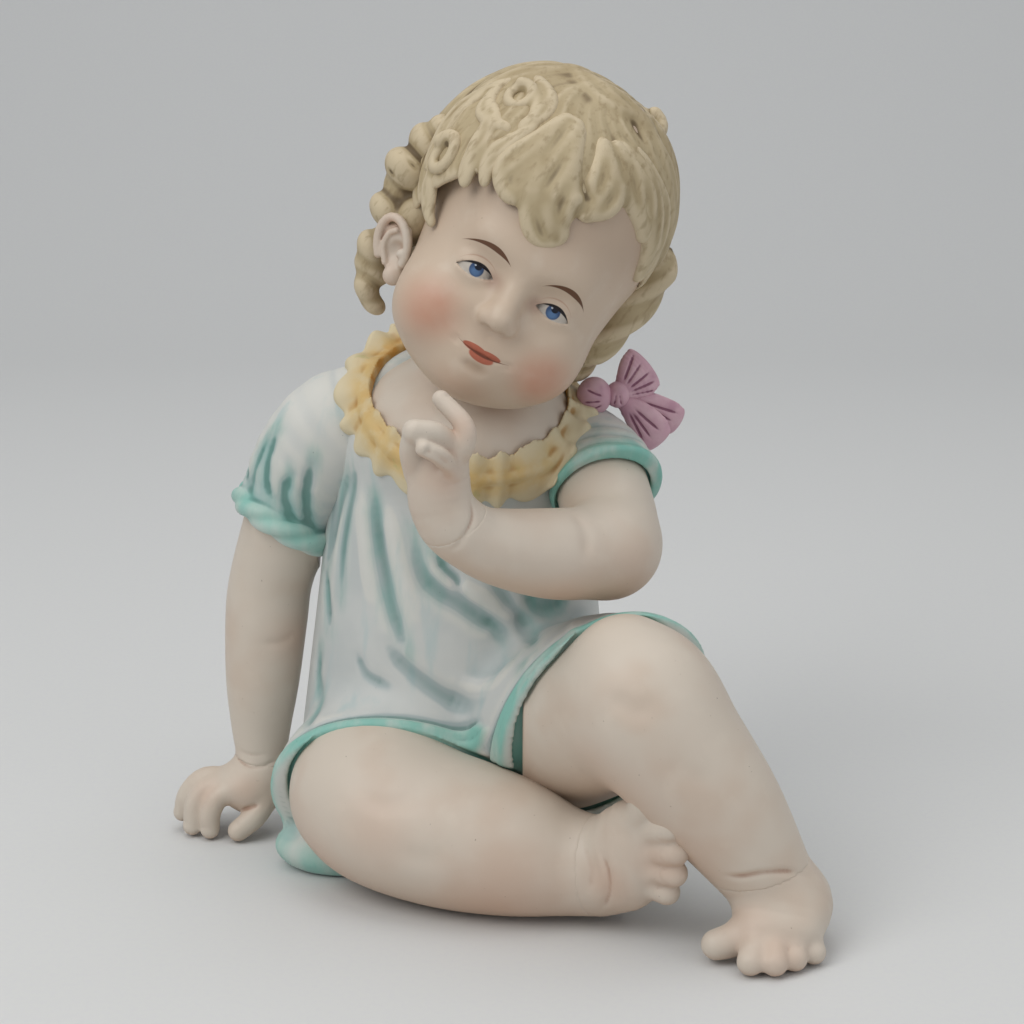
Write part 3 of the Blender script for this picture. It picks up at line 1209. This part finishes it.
def make_left_leg():
    clay = Clay((20, -130, -1), (128, -40, 122), 0.7)
    clay.add(LEFT_THIGH).add(LEFT_SHIN, 10).smooth(2.8)
    sole = [(112, -78, 12, 9, 9), (111, -86, 14, 13, 13), (109, -98, 15, 16, 14), (105, -109, 11, 16, 10)]
    clay.add(ribbon(sole, (1, 0, 0)), 5)
    add_digits(clay, LEFT_TOES, 2.4)
    ankle_fold = [(86, 0, 31), (92, 0, 31.5), (100, 0, 33), (108, 0, 32), (117, 0, 27)]
    clay.press(clay.on_skin(ankle_fold), 1.2, 0.9)
    clay.press(clay.on_skin([(48, 0, 93), (55, 0, 90), (62, 0, 90)]), 4.0, 0.8)
    clay.press(clay.on_skin([(66, 0, 74), (74, 0, 68), (82, 0, 66)]), 4.0, 0.4)
    clay.keep(moved(LEFT_HEM, -6))
    clay.keep(FLOOR, 1.0)
    flush = near_spots([(62, -96, 62, 18), (78, -100, 44, 16), (96, -112, 12, 10), (104, -120, 6, 10),
                        (50, -96, 72, 12)])
    split_at(clay, ((102, -97, 28), (0.25, 0.05, -1)), ("left_foot_flat", "left_foot", {"flush": flush}),
             ("left_leg_raised", "left_leg", {"flush": flush}))


# ---------------------------------------------------------------- right ear
def make_ear(skin):
    """Rim, bowl, the fold inside the rim and the lobe, turned to the front."""
    clay = Clay((-56, -26, -50), (-26, 6, -12), 0.4)
    middle = np.array((-42.3, -10, -30.6))
    up = np.array((-0.45, 0.05, 0.89))
    facing = np.array((-0.55, -0.83, -0.05))
    up /= np.linalg.norm(up)
    facing -= up * (facing @ up)
    facing /= np.linalg.norm(facing)
    across = np.cross(up, facing)

    def place(a, b, c=0.0):
        """A point of the ear: across towards the hair, up, and out."""
        return middle + across * a + up * b + facing * c

    outward = 1 if place(1, 0)[0] < middle[0] else -1
    bowl = [(*place(0, -6, -2), 4.5, 2.6), (*place(0, 0, -2), 6.4, 2.8), (*place(0, 6, -2), 6.0, 2.6)]
    clay.add(ribbon(bowl, across), 1.5)
    rim = []
    for i in range(15):
        turn = math.radians(205 - 250 * i / 14)
        rim.append((*place(-outward * 6.2 * math.cos(turn), 1.5 + 9.3 * math.sin(turn), 0.6), 1.55))
    clay.add(rope(rim, 1), 1.0)
    clay.add(ball(place(-outward * 0.6, -9.3, 0.2), (3.6, 2.6, 3.6)), 2.0)
    clay.cut(ball(place(-outward * 0.8, -1.0, 2.0), (3.2, 3.0, 4.6), (0, 27, 0)), 1.5)
    fold = [place(outward * 2.5, -5, 1.0), place(outward * 3.4, 0.5, 1.0), place(outward * 1.2, 5.0, 1.0),
            place(-outward * 1.6, 6.4, 1.0)]
    clay.add(rope([(*p, 1.1) for p in fold], 4), 0.8)
    clay.add(ball(place(-outward * 3.8, -1.5, 1.0), (1.4, 1.6, 1.8)), 1.2)
    masks = {"flush": near_spots([(*place(0, -9), 4), (*place(0, 9), 4)])}
    make_piece("right_ear_shell", clay, "right_ear", skin, masks, at_head=True)


def make_left_ear(skin):
    """The left ear lies against the head under the hair, so only its plain shell is made."""
    clay = Clay((26, -26, -50), (54, 12, -12), 0.5)
    clay.add(ball((34, 5, -17), (5, 6, 10), (8, 0, 24)))
    make_piece("left_ear_shell", clay, "left_ear", skin, at_head=True)


# ---------------------------------------------------------------- hair
HAIR_MIDDLE = np.array((-2.0, 8.0, 2.0))
WHORL = np.array((8.0, 22.0, 46.0))


HAIR_CAP = either(ball((-4.5, 3, 7.5), (45.5, 49.5, 47.5)), ball((0, 20, -16), (39, 33, 36)), 10)


def cap_distance(x, y, z):
    """Distance to the cap of hair that the locks are laid on."""
    return HAIR_CAP[2](x, y, z)


HAIRLINE = [
    (-39, -70), (-36, -44), (-40.5, -30), (-41, -14), (-40, -5), (-36.5, 2), (-31, 9), (-23, 12), (-13, 15),
    (-2, 19), (9, 22), (18, 25), (27, 22), (33, 15), (36.5, 2), (37.5, -16), (37, -34), (33, -70),
]


def in_hairline(x, z):
    """Distance inside the hairline as seen from the front, positive over the face."""
    rows = curve_through(HAIRLINE, 4)
    nearest = np.full(np.broadcast(x, z).shape, FAR, np.float32)
    crossings = np.zeros(nearest.shape, int)
    closed = np.vstack([rows, rows[:1]])
    for (ax, az), (bx, bz) in zip(closed[:-1], closed[1:]):
        run = np.array((bx - ax, bz - az))
        t = np.clip(((x - ax) * run[0] + (z - az) * run[1]) / max(run @ run, 1e-9), 0, 1)
        nearest = np.minimum(nearest, np.sqrt((x - ax - t * run[0]) ** 2 + (z - az - t * run[1]) ** 2))
        if az != bz:
            crossings += ((az > z) != (bz > z)) & (x < ax + (z - az) * (bx - ax) / (bz - az))
    return np.where(crossings % 2 == 1, nearest, -nearest)


def on_cap(points):
    """Moves points to the surface of the cap of hair, straight out from its middle."""
    p = np.array(points, float)
    for _ in range(4):
        outward = p - HAIR_MIDDLE
        outward /= np.linalg.norm(outward, axis=1)[:, None]
        p = p - outward * cap_distance(*p.T)[:, None]
    return p


def lock(clay, points, width, lift=0.0, strands=4, fullest=0.4):
    """A lock over the head: strands side by side, drawn together at both ends."""
    rows = on_cap(curve_through(points, 5))
    along = np.gradient(rows, axis=0)
    along /= np.linalg.norm(along, axis=1)[:, None]
    outward = rows - HAIR_MIDDLE
    outward /= np.linalg.norm(outward, axis=1)[:, None]
    side = np.cross(along, outward)
    t = np.linspace(0, 1, len(rows))
    swell = np.where(t < fullest, t / fullest, (1 - t) / (1 - fullest))
    swell = np.sqrt(np.clip(swell, 0, 1))[:, None]
    for i in range(strands):
        share = (i + 0.5) / strands - 0.5
        wave = 0.25 * width / strands * np.sin(9 * t + 2.1 * i)[:, None]
        crown = 0.07 * width * (1 - 4 * share * share)
        radius = (0.85 * width / strands) * (0.45 + 0.55 * swell)
        path = rows + side * (share * width * (0.25 + 0.75 * swell) + wave)
        path += outward * ((lift + crown) * swell - 0.8 * radius)
        clay.add(rope(np.hstack([path, radius]), 1), 2.0, reach=5)


def ringlet(clay, points, radius, turns, strands=2):
    """A corkscrew curl: strands wound round a core, thinner towards its end."""
    rows = curve_through(points, 12)
    along = np.gradient(rows, axis=0)
    along /= np.linalg.norm(along, axis=1)[:, None]
    side = np.cross(along, (0, 1, 0.2))
    side /= np.linalg.norm(side, axis=1)[:, None]
    up = np.cross(along, side)
    t = np.linspace(0, 1, len(rows))[:, None]
    taper = (1 - 0.3 * t) * np.sqrt(np.clip(6 * t + 0.4, 0, 1)) * np.sqrt(np.clip(5 * (1 - t) + 0.3, 0, 1))
    clay.add(rope(np.hstack([rows, 0.8 * radius * taper]), 1), 2.0, reach=5)
    for strand in range(strands):
        turn = 2 * math.pi * (turns * t + strand / strands)
        path = rows + 0.6 * radius * taper * (side * np.cos(turn) + up * np.sin(turn))
        clay.add(rope(np.hstack([path, 0.42 * radius * taper]), 1), 1.2, reach=4)


def coil(clay, centre, facing, radii, thick, turns=1.4, start=0.0):
    """A flat curl: one strand rolled up in a spiral round a dark hollow."""
    facing = np.array(facing, float) / np.linalg.norm(facing)
    across = np.cross(facing, (0, 0, 1))
    across /= np.linalg.norm(across)
    up = np.cross(across, facing)
    centre = on_cap([centre])[0] + facing * 0.3 * thick
    count = int(16 * turns)
    rows = []
    for i in range(count + 1):
        share = i / count
        turn = start + 2 * math.pi * turns * share
        size = 1 - 0.42 * share
        place = centre + size * (across * radii[0] * math.cos(turn) + up * radii[1] * math.sin(turn))
        rows.append((*(place - facing * thick * 0.7 * share), thick * (1 - 0.35 * share)))
    clay.add(rope(rows, 1), 0.8, reach=4)


def comb(clay, depth=0.35):
    """Draws fine combed grooves into the clay, radiating from the whorl at the crown."""
    x, y, z = clay.everywhere()
    axis = (WHORL - HAIR_MIDDLE) / np.linalg.norm(WHORL - HAIR_MIDDLE)
    across = np.cross(axis, (1, 0, 0))
    across /= np.linalg.norm(across)
    other = np.cross(axis, across)
    p = [a - c for a, c in zip((x, y, z), HAIR_MIDDLE)]
    length = np.sqrt(p[0] ** 2 + p[1] ** 2 + p[2] ** 2) + 1e-3
    down = np.arccos(np.clip(sum(p[i] * axis[i] for i in range(3)) / length, -1, 1))
    turn = np.arctan2(sum(p[i] * other[i] for i in range(3)), sum(p[i] * across[i] for i in range(3)))
    turn = turn + 0.35 * np.sin(2.2 * down + 1.3 * np.sin(2 * turn)) + 0.08 * np.sin(7 * down + 3 * turn)
    strength = smooth_step(down, 0.1, 0.6)
    broad = np.sin(17 * turn + 1.5 * np.sin(3 * down)) + 0.6 * np.sin(29 * turn + 2 * down)
    fine = np.abs(np.sin(44 * turn + 1.2 * np.sin(5 * down + 2 * turn)))
    clay.d -= (strength * (0.45 * broad - depth * (1 - fine))).astype(np.float32)


def sink(clay, depth=2.0):
    """Takes away what lies deep inside the cap, where nobody sees it."""
    clay.d = np.maximum(clay.d, -cap_distance(*clay.everywhere()) - depth).astype(np.float32)


def make_hair_cap(hair):
    clay = Clay((-62, -54, -62), (56, 62, 66), 0.6)
    x, y, z = clay.everywhere()
    clay.d = cap_distance(x, y, z).astype(np.float32)
    comb(clay, 0.5)
    face = np.minimum(in_hairline(x, z), -2 - y).astype(np.float32)
    clay.d = -soft_min(-clay.d, -face, 2.5)
    clay.cut(ball((-44, -14, -32), (8, 12, 15)), 2)
    for points, width, lift in (
        ([(-21, -1, 54), (-8, -15, 54), (5, -15, 53), (16, -10, 50)], 12, 0.2),
        ([(7, -32, 42), (19, -31, 36), (32, -27, 20), (37, -22, 4)], 11, 0.4),
        ([(4, -12, 54), (20, -18, 45), (34, -14, 32), (42, -10, 12)], 12, 0.2),
        ([(14, 0, 54), (30, 2, 43), (42, 4, 26), (46, 6, 6)], 12, 0.2),
        ([(-46, 7, 35), (-53, 6, 23), (-56, 5, 11), (-55, 4, 2)], 8, 0.2),
        ([(-24, 8, 55), (-38, 10, 46), (-48, 12, 34), (-53, 12, 18)], 12, 0.1),
        ([(-14, 0, 56), (-28, -6, 51), (-38, -8, 43), (-45, -8, 33)], 10, 0.2),
        ([(10, 36, 48), (24, 44, 30), (30, 46, 10), (28, 46, -10)], 13, 0.2),
        ([(2, 38, 48), (2, 52, 24), (1, 54, 2), (2, 52, -16)], 13, 0.2),
        ([(-10, 34, 48), (-24, 46, 28), (-30, 46, 8), (-28, 47, -12)], 13, 0.2),
        ([(-22, 24, 48), (-42, 26, 30), (-48, 24, 8), (-46, 26, -12)], 13, 0.2),
        ([(22, 24, 46), (38, 26, 30), (43, 24, 8), (42, 26, -12)], 13, 0.2),
    ):
        lock(clay, points, width, lift, 3)
    clay.press([(-8, -22, 51.5), (-3, -24, 51), (3, -24, 49)], 1.0, 1.4)
    clay.press([(-49, -10, 12), (-49.5, -10, 4)], 1.0, 1.5)
    clay.smooth(0.9)
    inner = ball((-1, 4, 4), (36, 42, 42))
    clay.cut(inner)
    make_piece("hair_mass", clay, "hair_cap", hair, at_head=True)


def make_forehead_curls(hair):
    clay = Clay((-36, -60, -4), (46, -14, 60), 0.45)
    lock(clay, [(-12, -35, 42), (-10, -43, 27), (-9, -48, 17), (-4, -50, 9), (2, -49, 4)], 19, 0.4, 4, 0.5)
    hooked = [(-15, -33, 41), (-20, -40, 29), (-23, -43, 20), (-23.5, -45, 14), (-20, -47, 10.5),
              (-16.5, -47.5, 13)]
    lock(clay, hooked, 10, 0.5, 3, 0.45)
    lock(clay, [(0, -36, 41), (7, -42, 31), (9.5, -45, 23), (6, -48, 17)], 12, 0.4, 3)
    lock(clay, [(5, -33, 42), (17, -35, 35), (26, -34, 26), (31, -31, 19)], 12, 0.3, 3)
    lock(clay, [(12, -28, 43), (27, -27, 34), (36, -23, 20), (38, -20, 8)], 11, 0.3, 3)
    sink(clay.smooth(0.8))
    make_piece("forehead_locks", clay, "forehead_curls", hair, at_head=True)


def make_temple_curls(hair):
    clay = Clay((-60, -50, -32), (-14, 6, 60), 0.45)
    coil(clay, np.array((-32.5, -24, 38.5)), (-0.45, -0.75, 0.5), (4.6, 5.0), 2.2, 1.5, 1.0)
    coil(clay, np.array((-45.5, -24, 8)), (-0.75, -0.65, 0.1), (4.6, 6.8), 2.5, 1.5, 0.4)
    lock(clay, [(-40, -14, 36), (-41, -22, 30), (-36, -30, 27), (-31, -34, 28)], 6.5, 0.4, 3)
    lock(clay, [(-30, -14, 47), (-24, -26, 43), (-24, -33, 36), (-27, -35, 31)], 7, 0.4, 3)
    lock(clay, [(-38, -12, 41), (-46, -12, 29), (-50, -13, 18), (-49, -15, 8), (-47, -16, 0)], 8, 0.3, 4)
    lock(clay, [(-36, -29, 28), (-37, -34, 20), (-37, -36, 11), (-35, -37, 4)], 8, 0.4, 4)
    lock(clay, [(-24, -38, 33), (-29, -39, 22), (-31, -40, 14), (-29, -41, 8)], 6.5, 0.3, 3)
    lock(clay, [(-44, -19, 2), (-44, -22, -5), (-42, -24, -12), (-38, -26, -16)], 6, 0.3, 3, 0.3)
    sink(clay.smooth(0.7))
    make_piece("temple_curls", clay, "right_temple_curls", hair, at_head=True)


# Lumps of the two curls beside the ear, from the top down: x, y, z, radius and tilt.
EAR_CURLS = [
    (-45, 1, 12, 7.5, 10),
    (-48, 3, 4, 9.2, 35),
    (-50.5, 0, -6, 9.4, 15),
    (-49, 4, -14, 8.2, 40),
    (-49.5, 1, -22, 7.8, 20),
    (-45, 6, -31, 5.6, 10),
    (-48, 6, -37, 7.0, 40),
    (-44.5, 8, -43, 7.4, 15),
    (-43, 6, -50, 5.8, 40),
    (-38, 7, -54, 4.8, 10),
]


def make_ear_ringlets(hair):
    clay = Clay((-66, -20, -66), (-28, 24, 26), 0.45)
    clay.add(ball((-41, -2, -20), (7, 8, 11)))
    for x, y, z, radius, tilt in EAR_CURLS:
        clay.add(ball((x, y, z), (radius, radius, 0.72 * radius), (0, tilt, 0)), 2.2)
    for x, z in ((-56, 8), (-58, -1), (-59, -10), (-58, -18), (-54, -35), (-52, -42)):
        clay.press([(x + 2, -4, z + 2.5), (x + 5, -8, z), (x + 10, -8, z - 2.5)], 0.8, 0.8)
    clay.smooth(0.6)
    make_piece("ear_ringlets", clay, "right_ear_ringlets", hair, at_head=True)


def make_nape_ringlets(hair):
    clay = Clay((-44, 20, -54), (44, 60, 2), 0.5)
    for x, y in ((-30, 35), (-11, 45), (11, 45), (30, 35)):
        hanging = [(x, y - 1, -6), (x * 1.03, y + 1, -18), (x * 1.05, y + 1.5, -30), (x, y - 1, -44)]
        ringlet(clay, hanging, 8.6, 2.6, 3)
    make_piece("nape_curls", clay, "nape_ringlets", hair, at_head=True)


def make_left_ringlets(hair):
    clay = Clay((26, -14, -56), (60, 34, 16), 0.45)
    ringlet(clay, [(40, 1, 12), (41, 1, 0), (40, 2, -12), (38, 4, -24), (35, 8, -34)], 9.2, 0.9, 3)
    ringlet(clay, [(36, 15, -22), (38, 17, -32), (37, 18, -44)], 6.6, 0.9, 3)
    clay.smooth(0.6)
    make_piece("left_curls", clay, "left_side_ringlets", hair, at_head=True)


def make_crown_curl(hair):
    clay = Clay((0, 6, 40), (32, 40, 66), 0.45)
    coil(clay, np.array((16, 22, 54)), (0.1, -0.6, 0.8), (6.0, 5.2), 3.0, 1.6, 2.0)
    lock(clay, [(6, 20, 55), (10, 14, 57), (18, 13, 56), (24, 18, 51)], 6, 0.2, 3)
    make_piece("crown_coil", clay, "crown_curl", hair, at_head=True)


def hair_finish():
    """Painted ash blond: dark in the partings, worn pale on the crests, with fine brush streaks."""
    hair = Finish("bisque_hair", colour(176, 160, 128), roughness=0.6)
    hair.wash(colour(156, 138, 104), hair.noise(16.0, 3.0).rise(0.4, 0.68) * 0.6)
    hair.wash(colour(208, 193, 165), hair.attribute("hollow").rise(-0.01, -0.12) * 0.65)
    hair.wash(colour(134, 114, 80), hair.noise(3.2, 4.0, (1.5, 1.5, 0.5)).rise(0.5, 0.72) * 0.45)
    hair.wash(colour(112, 92, 62), hair.attribute("dip").rise(0.005, 0.08) * 0.55)
    hair.wash(colour(82, 66, 44), hair.attribute("hollow").rise(0.012, 0.11) * 0.75)
    return hair.finish(grain=0.35, grain_size=0.5)


# ---------------------------------------------------------------- bow
def pleats(clay, start, ends, width=0.55, depth=0.6):
    """Fine pressed lines that fan out from the knot."""
    for end in ends:
        points = [[a + (b - a) * share for a, b in zip(start, end)] for share in (0.3, 0.65, 1.0)]
        clay.press(clay.on_skin(points), width, depth)


def bow_piece(name, node, shape, start, ends, finish):
    low, high, distance = shape
    clay = Clay(low - 3, high + 3, 0.35)
    clay.add(shape)
    pleats(clay, start, ends)
    make_piece(name, clay, node, finish)


def make_bow():
    finish = bow_finish()
    bow_piece("bow_knot_wrap", "bow_knot", ball((54, -4, 171.5), (4.4, 5, 4.8)), (54, -8, 176),
              [(52.5, -9, 167), (55.5, -9, 167)], finish)
    bow_piece("bow_round_loop", "bow_front_loop", ball((45.5, -6, 171.5), (6.3, 6.2, 6.9)), (52, -8, 171),
              [(42, -12, 166), (41, -12, 170), (42, -12, 175)], finish)
    fan = ribbon([(55, -3, 172, 2.4, 2.6), (58, -2, 174.5, 6, 3.2), (61, -0.5, 177.5, 8.6, 3.4),
                  (63.5, 1, 180, 9.0, 2.8)], (0.62, 0, -0.78))
    bow_piece("bow_fan_loop", "bow_back_loop", fan, (54, -4, 171),
              [(60, 0, 186), (63, 0, 183), (66, 0, 179.5), (68, 0, 176), (69, 0, 172.5)], finish)
    left = ribbon([(55, -2, 170, 2.4, 2.4), (61, -3, 164.5, 5.2, 2.8), (66, -4, 158.5, 7.0, 2.6),
                   (68.5, -4, 155, 6.2, 2.2)], (0.75, 0, 0.66))
    bow_piece("bow_lower_tail", "bow_left_tail", left, (55, -3, 171),
              [(64, -4, 154), (67, -4, 155), (70, -4, 158)], finish)
    right = ribbon([(56, -1, 171, 2.4, 2.4), (64, 1, 167, 5, 2.8), (72, 3, 162, 6.4, 2.6),
                    (75.5, 4, 160, 5.6, 2.2)], (0.5, 0, 0.85))
    bow_piece("bow_upper_tail", "bow_right_tail", right, (56, -2, 171),
              [(72, 4, 158), (75, 4, 160), (77, 4, 163)], finish)


def bow_finish():
    bow = Finish("bisque_bow", colour(203, 162, 176), roughness=0.55)
    bow.wash(colour(214, 182, 190), bow.noise(6.0, 3.0).rise(0.4, 0.7) * 0.6)
    bow.wash(colour(172, 124, 146), bow.noise(9.0, 3.0).rise(0.5, 0.75) * 0.5)
    bow.wash(colour(116, 62, 88), bow.attribute("hollow").rise(0.04, 0.22) * 0.85)
    return bow.finish()


# ---------------------------------------------------------------- setting
def make_setting():
    """Camera, soft studio light, and a pale sweep of floor and backdrop."""
    scene = bpy.context.scene
    target = Vector((16, -20, 132)) * MM
    tilt = math.radians(15)
    back = Vector((0, -math.cos(tilt), math.sin(tilt)))
    data = bpy.data.cameras.new("camera")
    data.lens = 86.4
    data.sensor_width = 36
    camera = bpy.data.objects.new("camera", data)
    camera.location = target + back * 0.88
    camera.rotation_euler = (math.radians(75), 0, 0)
    scene.collection.objects.link(camera)
    scene.camera = camera
    scene.view_settings.view_transform = "Standard"

    world = bpy.data.worlds.new("studio")
    world.use_nodes = True
    world.node_tree.nodes["Background"].inputs["Color"].default_value = colour(226, 230, 236)
    world.node_tree.nodes["Background"].inputs["Strength"].default_value = 0.47
    scene.world = world
    for name, place, size, power in (
        ("window", (-0.9, -0.9, 1.3), 1.1, 12.8),
        ("ceiling", (0.1, 0.1, 1.6), 1.6, 11.0),
        ("fill", (1.3, -1.0, 0.6), 1.4, 3.8),
    ):
        lamp = bpy.data.lights.new(name, "AREA")
        lamp.size = size
        lamp.energy = power
        lamp.color = (1.0, 0.98, 0.95)
        light = bpy.data.objects.new(name, lamp)
        light.location = place
        light.rotation_euler = (target - Vector(place)).to_track_quat("-Z", "Y").to_euler()
        scene.collection.objects.link(light)

    steps = 24
    profile = [(-2.5, 0.0)]
    for i in range(steps + 1):
        turn = math.pi / 2 * i / steps
        profile.append((0.9 + 0.9 * math.sin(turn), 0.9 - 0.9 * math.cos(turn)))
    profile.append((1.8, 4.0))
    points = [(x, y, z) for y, z in profile for x in (-4.0, 4.0)]
    faces = [(2 * i, 2 * i + 1, 2 * i + 3, 2 * i + 2) for i in range(len(profile) - 1)]
    sweep = bpy.data.meshes.new("floor")
    sweep.from_pydata(points, [], faces)
    sweep.polygons.foreach_set("use_smooth", [True] * len(faces))
    floor = bpy.data.objects.new("floor", sweep)
    paper = Finish("floor_paper", colour(210, 211, 210), roughness=0.75)
    paper.wash(colour(208, 208, 210), paper.noise(2.5, 3.0).rise(0.4, 0.7) * 0.5)
    sweep.materials.append(paper.finish(grain=0.08, grain_size=1.5))
    scene.collection.objects.link(floor)


def main():
    make_setting()
    make_head()
    skin = limb_skin()
    hair = hair_finish()
    make_bust(skin)
    make_ear(skin)
    make_left_ear(skin)
    make_hair_cap(hair)
    make_forehead_curls(hair)
    make_temple_curls(hair)
    make_ear_ringlets(hair)
    make_nape_ringlets(hair)
    make_left_ringlets(hair)
    make_crown_curl(hair)
    make_dress()
    make_right_sleeve()
    make_left_sleeve()
    make_collar()
    make_right_arm()
    make_left_arm()
    make_right_leg()
    make_left_leg()
    make_bow()


main()
